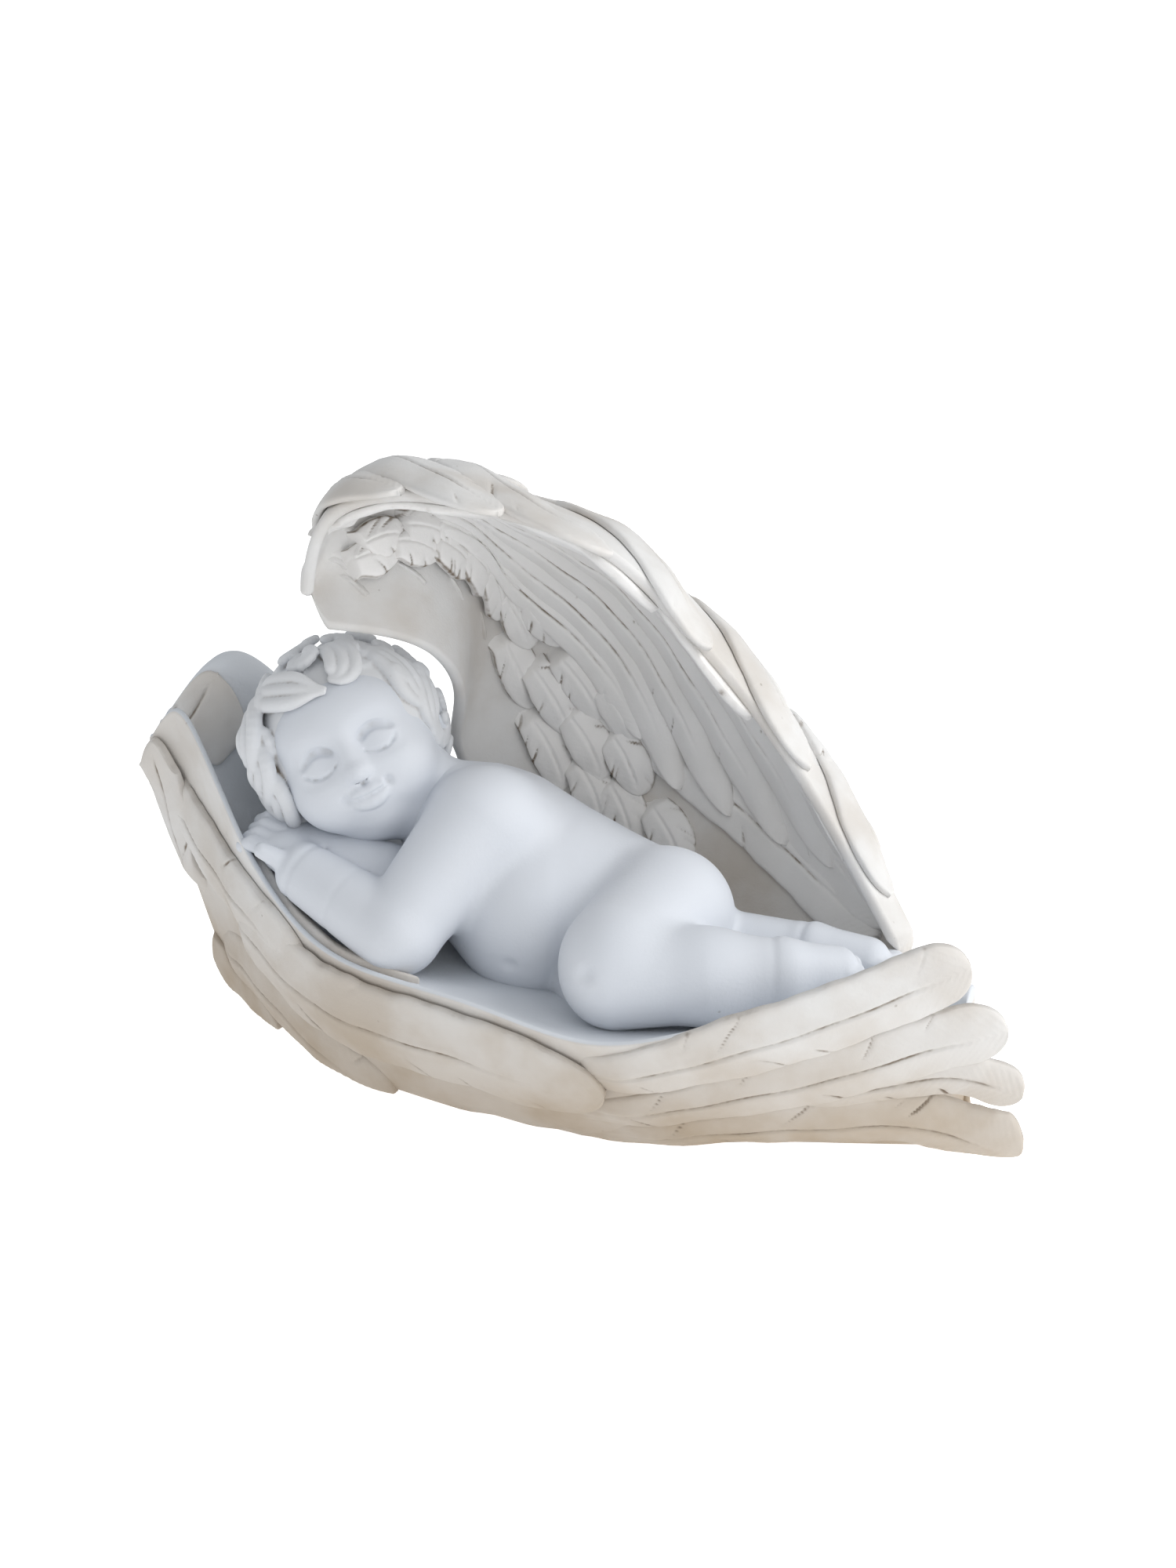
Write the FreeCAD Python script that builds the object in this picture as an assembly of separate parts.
"""Resin cherub asleep between a pair of wings, a shelf figurine.

Four resin castings are pinned and glued: the cradle wing under the child, the canopy wing that arches over
it, the child's body and the child's head. Steel dowels in blind holes locate the joints, and four felt pads
keep the base off the shelf. Millimetres, +Z up, +X from the head towards the feather tips, -Y is the front.
The design is drawn in bench coordinates and moved at the end, so the middle of the underside is the origin.
"""

import FreeCAD
import Part
import math
import os

V = FreeCAD.Vector

# ---- overall sizes ------------------------------------------------------------------------------------
# Every place in the tables below is drawn for the standard size and stretched to these.
LENGTH, DEPTH, HEIGHT = 208.0, 102.0, 128.0
STANDARD_LENGTH, STANDARD_DEPTH, STANDARD_HEIGHT = 208.0, 102.0, 128.0
STRETCH = {"x": LENGTH / STANDARD_LENGTH, "y": DEPTH / STANDARD_DEPTH, "z": HEIGHT / STANDARD_HEIGHT}

# ---- fittings -----------------------------------------------------------------------------------------
PAD_DIAMETER = 10.0
PAD_THICKNESS = 1.2
PAD_PLACES = {
    "front_left": (-50, -14), "back_left": (-46, 14),
    "front_right": (18, -18), "back_right": (16, 6),
}
DOWEL_DIAMETER = 3.0
DOWEL_LENGTH = 12.0
DOWEL_CLEARANCE = 0.05  # radial, and beyond each end of the dowel

# ---- the cradle wing ----------------------------------------------------------------------------------
# Upright sections across its length. Each row: x, then y and z of the top of the back wall, y and z of the
# top of the front wall, z of the hull's lowest point, z of the bed's lowest point.
CRADLE_SECTIONS = [
    (-119, 10, 62, -2, 60, 44, 56), (-112, 17, 71, -4, 68, 22, 51), (-104, 22, 70, -9, 64, 4, 43),
    (-94, 27, 58, -17, 55, -3, 34), (-84, 30, 49, -25, 47, -7, 28), (-68, 33, 43, -34, 37, -12, 25),
    (-48, 36, 36, -41, 34, -18, 23), (-22, 36, 28, -46, 34, -15, 22), (4, 30, 24, -48, 32, -8, 21),
    (28, 21, 25, -45, 39, -2, 23), (48, 12, 29, -39, 45, 1.5, 25), (64, 5, 31, -31, 49, 3.5, 28),
    (75, 1, 33, -25, 51, 5, 31),
]
CRADLE_FULLNESS = 3.0  # how square the hull's section is: 2 is a parabola
FRONT_LIP = 4.0  # thickness of the front wall at its top
BACK_LIP = 9.0  # thickness of the back wall at its top, where the canopy wing is glued

# ---- the canopy wing ----------------------------------------------------------------------------------
# An edge near the child's back (root), a feathered edge (rim) and a belly between them. Each row is a
# station from the wrist of the wing, over the head, to its feather tips, beyond the feet.
CANOPY_ROOT = [
    (-73, -4, 96), (-56, 8, 89), (-53, 20, 72), (-57, 30, 52), (-40, 36, 37),
    (-20, 36, 30), (5, 30, 26), (28, 20, 26), (46, 10, 31),
]
CANOPY_RIM = [
    (-75, -8, 104), (-71, -4, 119), (-54, 0, 124), (-36, 4, 121), (-18, 10, 114),
    (-4, 16, 99), (9, 20, 83), (27, 18, 62), (48, 8, 38),
]
CANOPY_BELLY = [(-5, 8, 4), (-6, 18, 12), (0, 24, 13), (5, 21, 9), (5, 14, 5), (2, 6, 1)]
CANOPY_FULLNESS = 2.2
CANOPY_RIM_THICKNESS = 3.5
CANOPY_ROOT_THICKNESS = 10.0  # only where the root meets the cradle; the free edge is as thin as the rim
CANOPY_FLANGE = -0.08  # how far the glued root runs on below its edge, as a share of the wing's span
CANOPY_GLUED_FROM, CANOPY_GLUED_FULLY = 0.36, 0.50  # shares along the wing where the glued root begins

# ---- raised feathers ----------------------------------------------------------------------------------
# Each feather: places of its quill on the wing as (along, across), half its width, and its lift off the wing.
CRADLE_FEATHERS = [
    ([(0.12, 0.99), (0.22, 0.94), (0.33, 0.955), (0.43, 0.985)], 7.0, 1.4),
    ([(0.20, 0.84), (0.34, 0.86), (0.47, 0.92), (0.60, 0.93)], 8.5, 1.6),
    ([(0.64, 0.965), (0.77, 0.965), (0.90, 0.975), (1.01, 0.995)], 7.0, 2.0),
    ([(0.64, 0.88), (0.80, 0.89), (0.93, 0.90), (1.05, 0.90)], 6.5, 1.5),
    ([(0.66, 0.82), (0.81, 0.81), (0.96, 0.79), (1.10, 0.75)], 5.0, 1.0),
    ([(0.68, 0.75), (0.83, 0.73), (0.96, 0.66), (1.09, 0.54)], 5.5, 1.5),
]
CANOPY_FEATHERS = [
    ([(0.16, 0.86), (0.24, 0.93), (0.33, 0.97), (0.42, 1.00)], 6.5, 1.2),
    ([(0.30, 0.78), (0.42, 0.90), (0.52, 0.97), (0.63, 1.02)], 7.0, 1.2),
    ([(0.42, 0.62), (0.55, 0.78), (0.68, 0.91), (0.81, 1.01)], 7.5, 1.2),
    ([(0.55, 0.45), (0.70, 0.62), (0.84, 0.80), (0.97, 0.90)], 7.5, 1.2),
]
CANOPY_BACK_FEATHERS = [
    ([(0.20, 0.60), (0.30, 0.85), (0.40, 1.04), (0.50, 1.13)], 8.0, 1.6),
    ([(0.33, 0.50), (0.45, 0.76), (0.56, 0.97), (0.66, 1.12)], 8.5, 1.6),
    ([(0.46, 0.38), (0.59, 0.64), (0.71, 0.87), (0.82, 1.06)], 8.5, 1.6),
    ([(0.60, 0.30), (0.72, 0.52), (0.84, 0.74), (0.95, 0.94)], 8.0, 1.6),
]
FEATHER_THICKNESS = 3.0
FEATHER_CAMBER = 1.2  # how far its edges drop towards the wing

# ---- the child ----------------------------------------------------------------------------------------
# Rounded limbs: centre and radius at one end, centre and radius at the other.
BODY_LIMBS = {
    "neck": ((-57, 0, 57), 9.5, (-44, 2, 52), 12),
    "chest": ((-37, 2, 44), 20, (-26, 2, 39), 19),
    "tummy": ((-25, -8, 37), 18.5, (-12, 0, 35), 16.5),
    "hips": ((-12, 0, 35), 16, (2, -2, 39), 14.5),
    "near_upper_arm": ((-36, -8, 57), 12, (-47, -30, 39), 9),
    "near_forearm": ((-46, -30, 39), 8.5, (-72, -24, 46), 7),
    "near_hand": ((-73, -24, 46), 6.8, (-80, -19, 48), 6.3),
    "far_forearm": ((-57, -16, 42), 9, (-76, -14, 45), 8),
    "near_thigh": ((4, -6, 43), 14, (2, -27, 41), 12.6),
    "near_shin": ((3, -29, 38), 11.5, (32, -20, 40), 7.5),
    "near_foot": ((33, -20, 40), 7.2, (42, -13, 38), 5.5),
    "far_thigh": ((-4, 0, 33), 13, (-8, -16, 27), 8),
    "far_shin": ((7, 0, 30), 11, (32, 2, 33), 8),
    "far_foot": ((33, 2, 33), 7.6, (44, 1, 33), 5.4),
}
# The head, in its own axes: towards its left ear, towards the crown, out of the face.
HEAD_CENTRE = V(-69.5, -1.5, 66)
HEAD_CROWN = V(-0.56, 0.18, 0.81)
HEAD_FACING = V(0.34, -0.88, 0.34)
HEAD_LIMBS = {
    "skull": ((0, 3, -5), 19.0, (0, 2, 1), 18.0),
    "face": ((0, -3, 6), 13.5, (0, -9, 6.5), 10.5),
    "chin": ((-1.5, -15.5, 10.5), 4.2, (1.5, -15.5, 10.5), 4.3),
    "left_cheek": ((7.2, -5.5, 12.0), 6.3, (6.2, -9.0, 11.0), 6.0),
    "right_cheek": ((-7.2, -5.5, 12.0), 6.3, (-6.2, -9.0, 11.0), 6.0),
    "left_lid": ((5.4, 0.6, 14.6), 3.4, (8.6, 0.2, 13.2), 3.3),
    "right_lid": ((-5.4, 0.6, 14.6), 3.4, (-8.6, 0.2, 13.2), 3.3),
    "nose": ((0, 0.5, 17.8), 1.6, (0, -4.3, 19.6), 2.3),
    "upper_lip": ((-2.2, -8.4, 16.9), 1.0, (2.2, -8.4, 16.9), 1.05),
    "lower_lip": ((-1.6, -10.0, 16.4), 1.1, (1.6, -10.0, 16.4), 1.15),
}
CURL_CENTRE = (0, 2.0, -3.0)
CURL_SHELL = 19.5  # distance of the curls' middles from the crown's centre
CURL_RINGS = [(64, 5.0, 13), (90, 6.2, 12), (118, 6.4, 11), (146, 6.6, 7), (172, 6.6, 2)]
CURL_LOWEST = -0.42  # curls whose direction points further down the neck than this are left out

# ---- joints -------------------------------------------------------------------------------------------
NECK_MIDDLE = V(-53, 0.5, 56)
NECK_NORMAL = V(-0.86, -0.1, 0.5)  # towards the head
NECK_RADIUS = 14.0  # the block that parts head from body, and its length
NECK_REACH = 12.0
# ---- dowels: middle and direction ---------------------------------------------------------------------
NECK_DOWEL = (NECK_MIDDLE, NECK_NORMAL)
SEAT_DOWELS = [(V(-30, 0, 22), V(0, 0, 1)), (V(-6, 0, 21), V(0, 0, 1))]
WING_DOWELS = [(V(-38, 35.0, 26), V(0, 1, -0.3)), (V(-10, 32.5, 20), V(0, 1, -0.3))]

# ---- fineness of the skins ----------------------------------------------------------------------------
GRID_ALONG, GRID_ACROSS = 25, 13  # control points of each wing skin
SKIN_DEGREE = 3
SEWING_TOLERANCE = 0.01
SLOPE_STEP = 0.01  # step in wing shares over which slopes are measured
FEATHER_STATIONS, FEATHER_ACROSS = 9, 5
FEATHER_TIP_POWER = 6.0  # how late the tip narrows
FEATHER_TIP_END = 0.02  # keeps the very tip open
BENCH = 400.0  # a block larger than the figurine
MEASURING_TOLERANCE = 0.1


# ---- places, smooth rows and skins --------------------------------------------------------------------
def stretched(numbers, axes="xyz"):
    """Table numbers stretched from the standard size to the overall sizes; axes names each number's axis."""
    return [number * STRETCH[axis] for number, axis in zip(numbers, axes)]


def steps(count, first=0.0, last=1.0):
    """Evenly spaced values from first to last."""
    return [first + (last - first) * i / (count - 1) for i in range(count)]


def spline(rows, t):
    """Natural cubic spline through rows of numbers, t from 0 to 1: curvatures solved by elimination."""
    last = len(rows) - 1
    size = range(len(rows[0]))
    curve = [[0.0 for _ in size] for _ in rows]
    factor = [0.0 for _ in rows]
    for i in range(1, last):
        factor[i] = 1.0 / (4.0 - factor[i - 1])
        for k in size:
            second = 6.0 * (rows[i - 1][k] - 2.0 * rows[i][k] + rows[i + 1][k])
            curve[i][k] = (second - curve[i - 1][k]) * factor[i]
    for i in range(last - 1, 0, -1):
        for k in size:
            curve[i][k] -= factor[i] * curve[i + 1][k]
    i = max(0, min(int(t * last), last - 1))
    f = t * last - i
    g = 1.0 - f
    return [
        rows[i][k] * g + rows[i + 1][k] * f
        + ((g ** 3 - g) * curve[i][k] + (f ** 3 - f) * curve[i + 1][k]) / 6.0
        for k in size
    ]


def skin(grid):
    """A cubic B-spline surface with the grid as its control net, so it never swings outside the net."""
    knots, repeats = [], []
    for count in (len(grid), len(grid[0])):
        spans = count - SKIN_DEGREE
        knots.append([float(i) for i in range(spans + 1)])
        repeats.append([SKIN_DEGREE + 1] + [1] * (spans - 1) + [SKIN_DEGREE + 1])
    surface = Part.BSplineSurface()
    surface.buildFromPolesMultsKnots(
        grid, repeats[0], repeats[1], knots[0], knots[1], False, False, SKIN_DEGREE, SKIN_DEGREE)
    return surface


def skin_solid(outer, inner):
    """A closed solid between two grids of points: two smooth skins and four ruled walls along their edges."""
    skins = [skin(outer), skin(inner)]
    walls = []
    for name, end in (("uIso", 0), ("uIso", 1), ("vIso", 2), ("vIso", 3)):
        edges = [getattr(surface, name)(surface.bounds()[end]).toShape() for surface in skins]
        walls.append(Part.makeRuledSurface(edges[0], edges[1]))
    shell = Part.makeShell([surface.toShape() for surface in skins] + walls)
    shell.sewShape(SEWING_TOLERANCE)
    solid = Part.makeSolid(shell)
    if solid.Volume < 0:
        solid.reverse()
    return solid


def slope_normal(surface, along, across):
    """The unit normal of a wing surface, from small steps along and across it."""
    du = surface(along + SLOPE_STEP, across) - surface(along - SLOPE_STEP, across)
    dv = surface(along, across + SLOPE_STEP) - surface(along, across - SLOPE_STEP)
    normal = du.cross(dv)
    normal.normalize()
    return normal


# ---- wings --------------------------------------------------------------------------------------------
def cradle_section(along, across, front_lip=0.0, back_lip=0.0, bed=False):
    """A point of a cradle section: a line from back wall to front wall, sagging by 1 - |2 across - 1| ^ n."""
    numbers = stretched(spline(CRADLE_SECTIONS, along), "xyzyzzz")
    x, back_y, back_z, front_y, front_z, keel, bed_low = numbers
    width = back_y - front_y
    back_y -= min(back_lip, width / 3)
    front_y += min(front_lip, width / 4)
    low = bed_low if bed else keel
    sag = (back_z + front_z) / 2 - low
    drop = sag * (1 - abs(2 * across - 1) ** CRADLE_FULLNESS)
    return V(x, back_y + (front_y - back_y) * across, back_z + (front_z - back_z) * across - drop)


def cradle_hull(along, across):
    return cradle_section(along, across)


def cradle_blank():
    """The cradle without feathers: hull, bed and walls, levelled underneath at the height of the pads."""
    hull = [[cradle_hull(along, across) for across in steps(GRID_ACROSS)] for along in steps(GRID_ALONG)]
    bed = [
        [cradle_section(along, across, FRONT_LIP, BACK_LIP, True) for across in steps(GRID_ACROSS)]
        for along in steps(GRID_ALONG)
    ]
    for row in hull:
        for point in row:
            point.z = max(point.z, PAD_THICKNESS)
    return skin_solid(hull, bed)


def canopy_hollow(along, across):
    """A point of the canopy's hollow side: a line from root to rim plus belly x (1 - |2 across - 1| ^ n)."""
    rows = (CANOPY_ROOT, CANOPY_RIM, CANOPY_BELLY)
    root, rim, belly = (V(*stretched(spline(row, along))) for row in rows)
    return root * (1 - across) + rim * across + belly * (1 - abs(2 * across - 1) ** CANOPY_FULLNESS)


def glued_share(along):
    """0 along the canopy's free leading edge, 1 where its root is glued to the cradle, and a ramp between."""
    return min(1.0, max(0.0, (along - CANOPY_GLUED_FROM) / (CANOPY_GLUED_FULLY - CANOPY_GLUED_FROM)))


def canopy_blank():
    """The canopy without feathers: thick where its root is glued, thin everywhere else."""
    hollow, back = [], []
    for along in steps(GRID_ALONG):
        inner, outer = [], []
        for across in steps(GRID_ACROSS, CANOPY_FLANGE * glued_share(along)):
            taper = glued_share(along) * max(0.0, 1.0 - 2.0 * max(across, 0.0))
            thickness = CANOPY_RIM_THICKNESS + (CANOPY_ROOT_THICKNESS - CANOPY_RIM_THICKNESS) * taper
            point = canopy_hollow(along, across)
            inner.append(point)
            outer.append(point - slope_normal(canopy_hollow, along, across) * thickness)
        hollow.append(inner)
        back.append(outer)
    return skin_solid(back, hollow)


def feather(surface, quill, half_width, lift, side=1):
    """One raised feather: a cambered blade along its quill, rounded at the tip and buried at its root."""
    top, under = [], []
    for t in steps(FEATHER_STATIONS):
        along, across = spline(quill, t)
        ahead, behind = spline(quill, t + SLOPE_STEP), spline(quill, t - SLOPE_STEP)
        centre = surface(along, across)
        tangent = surface(*ahead) - surface(*behind)
        normal = slope_normal(surface, along, across) * side
        sideways = normal.cross(tangent)
        sideways.normalize()
        swell = 0.6 + 0.4 * min(1.0, 3 * t)
        width = half_width * swell * math.sqrt(max(1 - t ** FEATHER_TIP_POWER, FEATHER_TIP_END))
        row_top, row_under = [], []
        for s in steps(FEATHER_ACROSS, -1.0):
            height = lift * min(1.0, 4 * t) - FEATHER_CAMBER * s * s
            point = centre + sideways * (width * s) + normal * height
            row_top.append(point)
            row_under.append(point - normal * FEATHER_THICKNESS)
        top.append(row_top)
        under.append(row_under)
    return skin_solid(top, under)


# ---- the child ----------------------------------------------------------------------------------------
def limb(start, start_radius, end, end_radius):
    """A rounded limb: two balls and the cone tangent to both, turned as one profile about the limb's axis."""
    start, end = V(*start), V(*end)
    axis = end - start
    length = axis.Length
    lean = (start_radius - end_radius) / length
    tilt = math.asin(lean)
    ends = []
    for radius, middle, sign in ((start_radius, 0.0, -1), (end_radius, length, 1)):
        touch = V(radius * math.cos(tilt), 0, middle + radius * lean)
        halfway = (tilt + sign * math.pi / 2) / 2
        pole = V(0, 0, middle + sign * radius)
        ends.append((touch, V(radius * math.cos(halfway), 0, middle + radius * math.sin(halfway)), pole))
    profile = Part.Wire([
        Part.Arc(ends[0][2], ends[0][1], ends[0][0]).toShape(),
        Part.LineSegment(ends[0][0], ends[1][0]).toShape(),
        Part.Arc(ends[1][0], ends[1][1], ends[1][2]).toShape(),
        Part.LineSegment(ends[1][2], ends[0][2]).toShape(),
    ])
    solid = Part.Face(profile).revolve(V(0, 0, 0), V(0, 0, 1), 360)
    solid.Placement = FreeCAD.Placement(start, FreeCAD.Rotation(V(0, 0, 1), axis))
    return solid


def body_limb(name):
    start, start_radius, end, end_radius = BODY_LIMBS[name]
    return limb(stretched(start), start_radius, stretched(end), end_radius)


def largest(shape):
    """The biggest solid of a shape, without the slivers a cut may leave."""
    return max(shape.Solids, key=lambda solid: solid.Volume)


def fused(solids):
    whole = solids[0]
    for solid in solids[1:]:
        whole = whole.fuse(solid)
    return largest(whole)


def head_axes():
    """The head's own axes, squared up: towards its left ear, towards the crown, out of the face."""
    facing = V(HEAD_FACING).normalize()
    left = HEAD_CROWN.cross(facing).normalize()
    return left, facing.cross(left), facing


def head_point(left, crown, facing):
    axes = head_axes()
    return V(*stretched(HEAD_CENTRE)) + axes[0] * left + axes[1] * crown + axes[2] * facing


def curls():
    """Curls on rings about the line of sight of the face, left out where the neck is."""
    balls = []
    for ring, (angle, radius, count) in enumerate(CURL_RINGS):
        out = math.cos(math.radians(angle))
        level = math.sin(math.radians(angle))
        for i in range(count):
            turn = 2 * math.pi * (i + 0.5 * (ring % 2)) / count
            left, crown = level * math.sin(turn), level * math.cos(turn)
            if crown > CURL_LOWEST:
                spot = [c + CURL_SHELL * d for c, d in zip(CURL_CENTRE, (left, crown, out))]
                balls.append(Part.makeSphere(radius, head_point(*spot)))
    return balls


def rod(place, radius, length):
    """A round bar of a given length, centred on a place with a direction."""
    middle, direction = V(*stretched(place[0])), V(place[1]).normalize()
    return Part.makeCylinder(radius, length, middle - direction * (length / 2), direction)


def dowels(places):
    return Part.makeCompound([rod(place, DOWEL_DIAMETER / 2, DOWEL_LENGTH) for place in places])


def drilled(solid, places):
    """The solid with its blind dowel holes."""
    radius, length = DOWEL_DIAMETER / 2 + DOWEL_CLEARANCE, DOWEL_LENGTH + 2 * DOWEL_CLEARANCE
    for place in places:
        solid = solid.cut(rod(place, radius, length))
    return solid.Solids[0]


def neck_block(side):
    """A round block that ends at the neck joint: on the head's side for -1, on the body's side for 1."""
    normal = V(NECK_NORMAL).normalize()
    middle = V(*stretched(NECK_MIDDLE))
    start = middle if side > 0 else middle + normal * NECK_REACH
    return Part.makeCylinder(NECK_RADIUS, NECK_REACH, start, normal * -1)


def canopy_back(along, across):
    """A point of the canopy's outer side near its rim."""
    return canopy_hollow(along, across) - slope_normal(canopy_hollow, along, across) * CANOPY_RIM_THICKNESS


def cradle_casting():
    layers = [feather(cradle_hull, *numbers) for numbers in CRADLE_FEATHERS]
    level = Part.makeBox(BENCH, BENCH, BENCH, V(-BENCH / 2, -BENCH / 2, PAD_THICKNESS))
    return fused([cradle_blank()] + [layer.common(level) for layer in layers])


def canopy_casting(cradle):
    layers = [feather(canopy_hollow, *numbers) for numbers in CANOPY_FEATHERS]
    layers += [feather(canopy_back, *numbers, -1) for numbers in CANOPY_BACK_FEATHERS]
    return largest(fused([canopy_blank()] + layers).cut(cradle))


def body_casting(cradle, canopy):
    limbs = [body_limb(name) for name in BODY_LIMBS]
    whole = fused(limbs).cut(cradle).cut(canopy)
    return largest(whole.cut(neck_block(-1)))


def head_casting(body, cradle, canopy):
    parts = [limb(head_point(*a), ra, head_point(*b), rb) for a, ra, b, rb in HEAD_LIMBS.values()]
    whole = fused(parts + [body_limb("neck")] + curls())
    return largest(whole.cut(neck_block(1)).cut(body).cut(cradle).cut(canopy))


def build():
    """Every sub-part by name, still in bench coordinates."""
    cradle = cradle_casting()
    canopy = canopy_casting(cradle)
    body = body_casting(cradle, canopy)
    head = head_casting(body, cradle, canopy)
    parts = {
        "cradle_wing": drilled(cradle, SEAT_DOWELS + WING_DOWELS),
        "canopy_wing": drilled(canopy, WING_DOWELS),
        "cherub_body": drilled(body, SEAT_DOWELS + [NECK_DOWEL]),
        "cherub_head": drilled(head, [NECK_DOWEL]),
        "neck_dowel": dowels([NECK_DOWEL]),
        "seat_dowels": dowels(SEAT_DOWELS),
        "wing_dowels": dowels(WING_DOWELS),
    }
    for name, place in PAD_PLACES.items():
        x, y = stretched(place, "xy")
        parts["felt_pad_" + name] = Part.makeCylinder(PAD_DIAMETER / 2, PAD_THICKNESS, V(x, y, 0))
    return parts


def underside_middle(shapes):
    """The middle of the whole figurine's outline seen from above."""
    points = [point for shape in shapes for point in shape.tessellate(MEASURING_TOLERANCE)[0]]
    xs = [point.x for point in points]
    ys = [point.y for point in points]
    return V((min(xs) + max(xs)) / 2, (min(ys) + max(ys)) / 2, 0)


if __name__ == "__main__":
    os.makedirs("parts", exist_ok=True)
    shapes = build()
    middle = underside_middle(shapes.values())
    for node, shape in shapes.items():
        shape.translate(middle * -1)
        shape.exportStep("parts/" + node + ".step")
